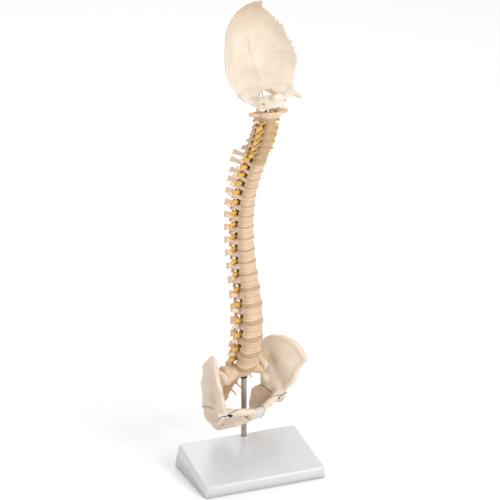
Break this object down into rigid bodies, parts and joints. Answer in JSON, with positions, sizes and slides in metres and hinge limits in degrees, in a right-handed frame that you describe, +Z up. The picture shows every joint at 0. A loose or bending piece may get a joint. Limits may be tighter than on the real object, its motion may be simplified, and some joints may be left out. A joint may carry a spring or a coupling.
{
  "type": "anatomical spine model on stand",
  "caption": "Child's vertebral column model with pelvis, occipital bone and spinal nerves, flexible, on a steel rod in a wedge-shaped base",
  "frame": {"origin": "middle of the base's flat underside", "axes": "+X along the base's width, -Y towards its low front edge, +Z up; the skeleton is turned 20 degrees about the rod, so that its front faces between -Y and +X"},
  "size_m": [0.1928, 0.149, 0.6922],
  "materials": {
    "bone": "ivory matt moulded vinyl with fine pores and warm shading in the hollows",
    "disc": "brownish grey soft rubber, semi-matt",
    "nerve": "yellow-orange satin rubber",
    "cartilage": "pale grey satin rubber",
    "rod_steel": "drawn stainless steel, satin",
    "bush": "black rubber",
    "base_plastic": "pale grey moulded plastic, soft gloss",
    "plate_steel": "grey painted steel sheet"
  },
  "bodies": {
    "stand": {"base_shell": "base_plastic", "base_plate": "plate_steel"},
    "rod": {"stand_rod": "rod_steel"},
    "pelvis": {"sacrum_and_coccyx": "bone", "ilium_left": "bone", "ilium_right": "bone", "ischiopubis_left": "bone", "ischiopubis_right": "bone", "pubic_symphysis": "cartilage", "rod_bush": "bush", "spinal_nerves": "nerve", "flexible_core": "nerve"},
    "disc_body_L5": {"disc_L5_S1": "disc"},
    "L5": {"L5": "bone"},
    "disc_body_L4": {"disc_L4_L5": "disc"},
    "L4": {"L4": "bone"},
    "disc_body_L3": {"disc_L3_L4": "disc"},
    "L3": {"L3": "bone"},
    "disc_body_L2": {"disc_L2_L3": "disc"},
    "L2": {"L2": "bone"},
    "disc_body_L1": {"disc_L1_L2": "disc"},
    "L1": {"L1": "bone"},
    "disc_body_T12": {"disc_T12_L1": "disc"},
    "T12": {"T12": "bone"},
    "disc_body_T11": {"disc_T11_T12": "disc"},
    "T11": {"T11": "bone"},
    "disc_body_T10": {"disc_T10_T11": "disc"},
    "T10": {"T10": "bone"},
    "disc_body_T9": {"disc_T9_T10": "disc"},
    "T9": {"T9": "bone"},
    "disc_body_T8": {"disc_T8_T9": "disc"},
    "T8": {"T8": "bone"},
    "disc_body_T7": {"disc_T7_T8": "disc"},
    "T7": {"T7": "bone"},
    "disc_body_T6": {"disc_T6_T7": "disc"},
    "T6": {"T6": "bone"},
    "disc_body_T5": {"disc_T5_T6": "disc"},
    "T5": {"T5": "bone"},
    "disc_body_T4": {"disc_T4_T5": "disc"},
    "T4": {"T4": "bone"},
    "disc_body_T3": {"disc_T3_T4": "disc"},
    "T3": {"T3": "bone"},
    "disc_body_T2": {"disc_T2_T3": "disc"},
    "T2": {"T2": "bone"},
    "disc_body_T1": {"disc_T1_T2": "disc"},
    "T1": {"T1": "bone"},
    "disc_body_C7": {"disc_C7_T1": "disc"},
    "C7": {"C7": "bone"},
    "disc_body_C6": {"disc_C6_C7": "disc"},
    "C6": {"C6": "bone"},
    "disc_body_C5": {"disc_C5_C6": "disc"},
    "C5": {"C5": "bone"},
    "disc_body_C4": {"disc_C4_C5": "disc"},
    "C4": {"C4": "bone"},
    "disc_body_C3": {"disc_C3_C4": "disc"},
    "C3": {"C3": "bone"},
    "disc_body_C2": {"disc_C2_C3": "disc"},
    "C2": {"C2": "bone"},
    "C1": {"C1": "bone"},
    "head": {"occipital_bone": "bone"}
  },
  "joints": [
    {"name": "swivel", "type": "hinge", "parent": "stand", "child": "rod", "pos_m": [0.008, 0.041, 0], "axis": [0, 0, 1], "continuous": true},
    {"name": "lift_off", "type": "slide", "parent": "rod", "child": "pelvis", "axis": [0, 0, 1], "range_m": [0, 0.15]},
    {"name": "trunk_bend", "type": "hinge", "parent": "pelvis", "child": "disc_body_L5", "pos_m": [0.00971, 0.0363, 0.151], "axis": [0.9397, 0.342, 0], "range_deg": [-2, 2], "deforming": ["disc_L5_S1", "flexible_core", "spinal_nerves"]},
    {"name": "trunk_side", "type": "hinge", "parent": "disc_body_L5", "child": "L5", "pos_m": [0.00971, 0.0363, 0.151], "axis": [-0.302, 0.8297, 0.4695], "range_deg": [-2, 2]},
    {"name": "bend_L4", "type": "hinge", "parent": "L5", "child": "disc_body_L4", "pos_m": [0.01264, 0.02827, 0.17449], "axis": [0.9397, 0.342, 0], "range_deg": [-2, 2], "deforming": ["disc_L4_L5"]},
    {"name": "side_L4", "type": "hinge", "parent": "disc_body_L4", "child": "L4", "pos_m": [0.01264, 0.02827, 0.17449], "axis": [-0.3304, 0.9077, 0.2588], "range_deg": [-2, 2]},
    {"name": "bend_L3", "type": "hinge", "parent": "L4", "child": "disc_body_L3", "pos_m": [0.01412, 0.02418, 0.19914], "axis": [0.9397, 0.342, 0], "range_deg": [-2, 2], "deforming": ["disc_L3_L4"]},
    {"name": "side_L3", "type": "hinge", "parent": "disc_body_L3", "child": "L3", "pos_m": [0.01412, 0.02418, 0.19914], "axis": [-0.3398, 0.9337, 0.1132], "range_deg": [-2, 2]},
    {"name": "bend_L2", "type": "hinge", "parent": "L3", "child": "disc_body_L2", "pos_m": [0.01457, 0.02295, 0.22418], "axis": [0.9397, 0.342, 0], "range_deg": [-2, 2], "deforming": ["disc_L2_L3"]},
    {"name": "side_L2", "type": "hinge", "parent": "disc_body_L2", "child": "L2", "pos_m": [0.01457, 0.02295, 0.22418], "axis": [-0.342, 0.9397, -0.0087], "range_deg": [-2, 2]},
    {"name": "bend_L1", "type": "hinge", "parent": "L2", "child": "disc_body_L1", "pos_m": [0.01397, 0.02459, 0.24922], "axis": [0.9397, 0.342, 0], "range_deg": [-2, 2], "deforming": ["disc_L1_L2"]},
    {"name": "side_L1", "type": "hinge", "parent": "disc_body_L1", "child": "L1", "pos_m": [0.01397, 0.02459, 0.24922], "axis": [-0.3395, 0.9327, -0.1219], "range_deg": [-2, 2]},
    {"name": "bend_T12", "type": "hinge", "parent": "L1", "child": "disc_body_T12", "pos_m": [0.01256, 0.02846, 0.27256], "axis": [0.9397, 0.342, 0], "range_deg": [-1.5, 1.5], "deforming": ["disc_T12_L1"]},
    {"name": "side_T12", "type": "hinge", "parent": "disc_body_T12", "child": "T12", "pos_m": [0.01256, 0.02846, 0.27256], "axis": [-0.3363, 0.924, -0.1822], "range_deg": [-1.5, 1.5]},
    {"name": "bend_T11", "type": "hinge", "parent": "T12", "child": "disc_body_T11", "pos_m": [0.01115, 0.03235, 0.29386], "axis": [0.9397, 0.342, 0], "range_deg": [-1.5, 1.5], "deforming": ["disc_T11_T12"]},
    {"name": "side_T11", "type": "hinge", "parent": "disc_body_T11", "child": "T11", "pos_m": [0.01115, 0.03235, 0.29386], "axis": [-0.3368, 0.9254, -0.1736], "range_deg": [-1.5, 1.5]},
    {"name": "bend_T10", "type": "hinge", "parent": "T11", "child": "disc_body_T10", "pos_m": [0.01018, 0.035, 0.31164], "axis": [0.9397, 0.342, 0], "range_deg": [-1.5, 1.5], "deforming": ["disc_T10_T11"]},
    {"name": "side_T10", "type": "hinge", "parent": "disc_body_T10", "child": "T10", "pos_m": [0.01018, 0.035, 0.31164], "axis": [-0.3391, 0.9317, -0.1305], "range_deg": [-1.5, 1.5]},
    {"name": "bend_T9", "type": "hinge", "parent": "T10", "child": "disc_body_T9", "pos_m": [0.00955, 0.03675, 0.32937], "axis": [0.9397, 0.342, 0], "range_deg": [-1.5, 1.5], "deforming": ["disc_T9_T10"]},
    {"name": "side_T9", "type": "hinge", "parent": "disc_body_T9", "child": "T9", "pos_m": [0.00955, 0.03675, 0.32937], "axis": [-0.341, 0.9368, -0.0785], "range_deg": [-1.5, 1.5]},
    {"name": "bend_T8", "type": "hinge", "parent": "T9", "child": "disc_body_T8", "pos_m": [0.00923, 0.03762, 0.34701], "axis": [0.9397, 0.342, 0], "range_deg": [-1.5, 1.5], "deforming": ["disc_T8_T9"]},
    {"name": "side_T8", "type": "hinge", "parent": "disc_body_T8", "child": "T8", "pos_m": [0.00923, 0.03762, 0.34701], "axis": [-0.3419, 0.9394, -0.0262], "range_deg": [-1.5, 1.5]},
    {"name": "bend_T7", "type": "hinge", "parent": "T8", "child": "disc_body_T7", "pos_m": [0.00923, 0.03762, 0.36451], "axis": [0.9397, 0.342, 0], "range_deg": [-1.5, 1.5], "deforming": ["disc_T7_T8"]},
    {"name": "side_T7", "type": "hinge", "parent": "disc_body_T7", "child": "T7", "pos_m": [0.00923, 0.03762, 0.36451], "axis": [-0.3418, 0.939, 0.0378], "range_deg": [-1.5, 1.5]},
    {"name": "bend_T6", "type": "hinge", "parent": "T7", "child": "disc_body_T6", "pos_m": [0.00967, 0.03642, 0.3814], "axis": [0.9397, 0.342, 0], "range_deg": [-1.5, 1.5], "deforming": ["disc_T6_T7"]},
    {"name": "side_T6", "type": "hinge", "parent": "disc_body_T6", "child": "T6", "pos_m": [0.00967, 0.03642, 0.3814], "axis": [-0.3398, 0.9337, 0.1132], "range_deg": [-1.5, 1.5]},
    {"name": "bend_T5", "type": "hinge", "parent": "T6", "child": "disc_body_T5", "pos_m": [0.01051, 0.0341, 0.39758], "axis": [0.9397, 0.342, 0], "range_deg": [-1.5, 1.5], "deforming": ["disc_T5_T6"]},
    {"name": "side_T5", "type": "hinge", "parent": "disc_body_T5", "child": "T5", "pos_m": [0.01051, 0.0341, 0.39758], "axis": [-0.3359, 0.9229, 0.188], "range_deg": [-1.5, 1.5]},
    {"name": "bend_T4", "type": "hinge", "parent": "T5", "child": "disc_body_T4", "pos_m": [0.01173, 0.03076, 0.41297], "axis": [0.9397, 0.342, 0], "range_deg": [-1.5, 1.5], "deforming": ["disc_T4_T5"]},
    {"name": "side_T4", "type": "hinge", "parent": "disc_body_T4", "child": "T4", "pos_m": [0.01173, 0.03076, 0.41297], "axis": [-0.3296, 0.9055, 0.2672], "range_deg": [-1.5, 1.5]},
    {"name": "bend_T3", "type": "hinge", "parent": "T4", "child": "disc_body_T3", "pos_m": [0.01333, 0.02636, 0.42738], "axis": [0.9397, 0.342, 0], "range_deg": [-1.5, 1.5], "deforming": ["disc_T3_T4"]},
    {"name": "side_T3", "type": "hinge", "parent": "disc_body_T3", "child": "T3", "pos_m": [0.01333, 0.02636, 0.42738], "axis": [-0.3229, 0.8872, 0.3297], "range_deg": [-1.5, 1.5]},
    {"name": "bend_T2", "type": "hinge", "parent": "T3", "child": "disc_body_T2", "pos_m": [0.01507, 0.02159, 0.44096], "axis": [0.9397, 0.342, 0], "range_deg": [-1.5, 1.5], "deforming": ["disc_T2_T3"]},
    {"name": "side_T2", "type": "hinge", "parent": "disc_body_T2", "child": "T2", "pos_m": [0.01507, 0.02159, 0.44096], "axis": [-0.3177, 0.8728, 0.3706], "range_deg": [-1.5, 1.5]},
    {"name": "bend_T1", "type": "hinge", "parent": "T2", "child": "disc_body_T1", "pos_m": [0.01696, 0.01638, 0.45401], "axis": [0.9397, 0.342, 0], "range_deg": [-1.5, 1.5], "deforming": ["disc_T1_T2"]},
    {"name": "side_T1", "type": "hinge", "parent": "disc_body_T1", "child": "T1", "pos_m": [0.01696, 0.01638, 0.45401], "axis": [-0.3137, 0.8618, 0.3987], "range_deg": [-1.5, 1.5]},
    {"name": "neck_bend", "type": "hinge", "parent": "T1", "child": "disc_body_C7", "pos_m": [0.01889, 0.01109, 0.46666], "axis": [0.9397, 0.342, 0], "range_deg": [-3, 3], "deforming": ["disc_C7_T1"]},
    {"name": "neck_side", "type": "hinge", "parent": "disc_body_C7", "child": "C7", "pos_m": [0.01889, 0.01109, 0.46666], "axis": [-0.3125, 0.8585, 0.4067], "range_deg": [-3, 3]},
    {"name": "bend_C6", "type": "hinge", "parent": "C7", "child": "disc_body_C6", "pos_m": [0.02077, 0.00592, 0.47902], "axis": [0.9397, 0.342, 0], "range_deg": [-3, 3], "deforming": ["disc_C6_C7"]},
    {"name": "side_C6", "type": "hinge", "parent": "disc_body_C6", "child": "C6", "pos_m": [0.02077, 0.00592, 0.47902], "axis": [-0.3125, 0.8585, 0.4067], "range_deg": [-3, 3]},
    {"name": "bend_C5", "type": "hinge", "parent": "C6", "child": "disc_body_C5", "pos_m": [0.0226, 0.00088, 0.49108], "axis": [0.9397, 0.342, 0], "range_deg": [-3, 3], "deforming": ["disc_C5_C6"]},
    {"name": "side_C5", "type": "hinge", "parent": "disc_body_C5", "child": "C5", "pos_m": [0.0226, 0.00088, 0.49108], "axis": [-0.3154, 0.8666, 0.3867], "range_deg": [-3, 3]},
    {"name": "bend_C4", "type": "hinge", "parent": "C5", "child": "disc_body_C4", "pos_m": [0.02395, -0.00281, 0.50104], "axis": [0.9397, 0.342, 0], "range_deg": [-3, 3], "deforming": ["disc_C4_C5"]},
    {"name": "side_C4", "type": "hinge", "parent": "disc_body_C4", "child": "C4", "pos_m": [0.02395, -0.00281, 0.50104], "axis": [-0.3209, 0.8816, 0.3461], "range_deg": [-3, 3]},
    {"name": "bend_C3", "type": "hinge", "parent": "C4", "child": "disc_body_C3", "pos_m": [0.02515, -0.00613, 0.51129], "axis": [0.9397, 0.342, 0], "range_deg": [-3, 3], "deforming": ["disc_C3_C4"]},
    {"name": "side_C3", "type": "hinge", "parent": "disc_body_C3", "child": "C3", "pos_m": [0.02515, -0.00613, 0.51129], "axis": [-0.3279, 0.901, 0.284], "range_deg": [-3, 3]},
    {"name": "bend_C2", "type": "hinge", "parent": "C3", "child": "disc_body_C2", "pos_m": [0.02606, -0.00863, 0.52197], "axis": [0.9397, 0.342, 0], "range_deg": [-3, 3], "deforming": ["disc_C2_C3"]},
    {"name": "side_C2", "type": "hinge", "parent": "disc_body_C2", "child": "C2", "pos_m": [0.02606, -0.00863, 0.52197], "axis": [-0.3352, 0.9208, 0.1994], "range_deg": [-3, 3]},
    {"name": "head_turn", "type": "hinge", "parent": "C2", "child": "C1", "pos_m": [0.02705, -0.01135, 0.54024], "axis": [0.0535, -0.147, 0.9877], "range_deg": [-14, 42]},
    {"name": "head_nod", "type": "hinge", "parent": "C1", "child": "head", "pos_m": [0.02739, -0.01229, 0.55424], "axis": [0.9945, 0.1045, 0], "range_deg": [-6, 6]}
  ],
  "couplings": [
    {"joint": "bend_L4", "follows": "trunk_bend", "ratio": 1},
    {"joint": "side_L4", "follows": "trunk_side", "ratio": 1},
    {"joint": "bend_L3", "follows": "trunk_bend", "ratio": 1},
    {"joint": "side_L3", "follows": "trunk_side", "ratio": 1},
    {"joint": "bend_L2", "follows": "trunk_bend", "ratio": 1},
    {"joint": "side_L2", "follows": "trunk_side", "ratio": 1},
    {"joint": "bend_L1", "follows": "trunk_bend", "ratio": 1},
    {"joint": "side_L1", "follows": "trunk_side", "ratio": 1},
    {"joint": "bend_T12", "follows": "trunk_bend", "ratio": 0.75},
    {"joint": "side_T12", "follows": "trunk_side", "ratio": 0.75},
    {"joint": "bend_T11", "follows": "trunk_bend", "ratio": 0.75},
    {"joint": "side_T11", "follows": "trunk_side", "ratio": 0.75},
    {"joint": "bend_T10", "follows": "trunk_bend", "ratio": 0.75},
    {"joint": "side_T10", "follows": "trunk_side", "ratio": 0.75},
    {"joint": "bend_T9", "follows": "trunk_bend", "ratio": 0.75},
    {"joint": "side_T9", "follows": "trunk_side", "ratio": 0.75},
    {"joint": "bend_T8", "follows": "trunk_bend", "ratio": 0.75},
    {"joint": "side_T8", "follows": "trunk_side", "ratio": 0.75},
    {"joint": "bend_T7", "follows": "trunk_bend", "ratio": 0.75},
    {"joint": "side_T7", "follows": "trunk_side", "ratio": 0.75},
    {"joint": "bend_T6", "follows": "trunk_bend", "ratio": 0.75},
    {"joint": "side_T6", "follows": "trunk_side", "ratio": 0.75},
    {"joint": "bend_T5", "follows": "trunk_bend", "ratio": 0.75},
    {"joint": "side_T5", "follows": "trunk_side", "ratio": 0.75},
    {"joint": "bend_T4", "follows": "trunk_bend", "ratio": 0.75},
    {"joint": "side_T4", "follows": "trunk_side", "ratio": 0.75},
    {"joint": "bend_T3", "follows": "trunk_bend", "ratio": 0.75},
    {"joint": "side_T3", "follows": "trunk_side", "ratio": 0.75},
    {"joint": "bend_T2", "follows": "trunk_bend", "ratio": 0.75},
    {"joint": "side_T2", "follows": "trunk_side", "ratio": 0.75},
    {"joint": "bend_T1", "follows": "trunk_bend", "ratio": 0.75},
    {"joint": "side_T1", "follows": "trunk_side", "ratio": 0.75},
    {"joint": "bend_C6", "follows": "neck_bend", "ratio": 1},
    {"joint": "side_C6", "follows": "neck_side", "ratio": 1},
    {"joint": "bend_C5", "follows": "neck_bend", "ratio": 1},
    {"joint": "side_C5", "follows": "neck_side", "ratio": 1},
    {"joint": "bend_C4", "follows": "neck_bend", "ratio": 1},
    {"joint": "side_C4", "follows": "neck_side", "ratio": 1},
    {"joint": "bend_C3", "follows": "neck_bend", "ratio": 1},
    {"joint": "side_C3", "follows": "neck_side", "ratio": 1},
    {"joint": "bend_C2", "follows": "neck_bend", "ratio": 1},
    {"joint": "side_C2", "follows": "neck_side", "ratio": 1}
  ]
}
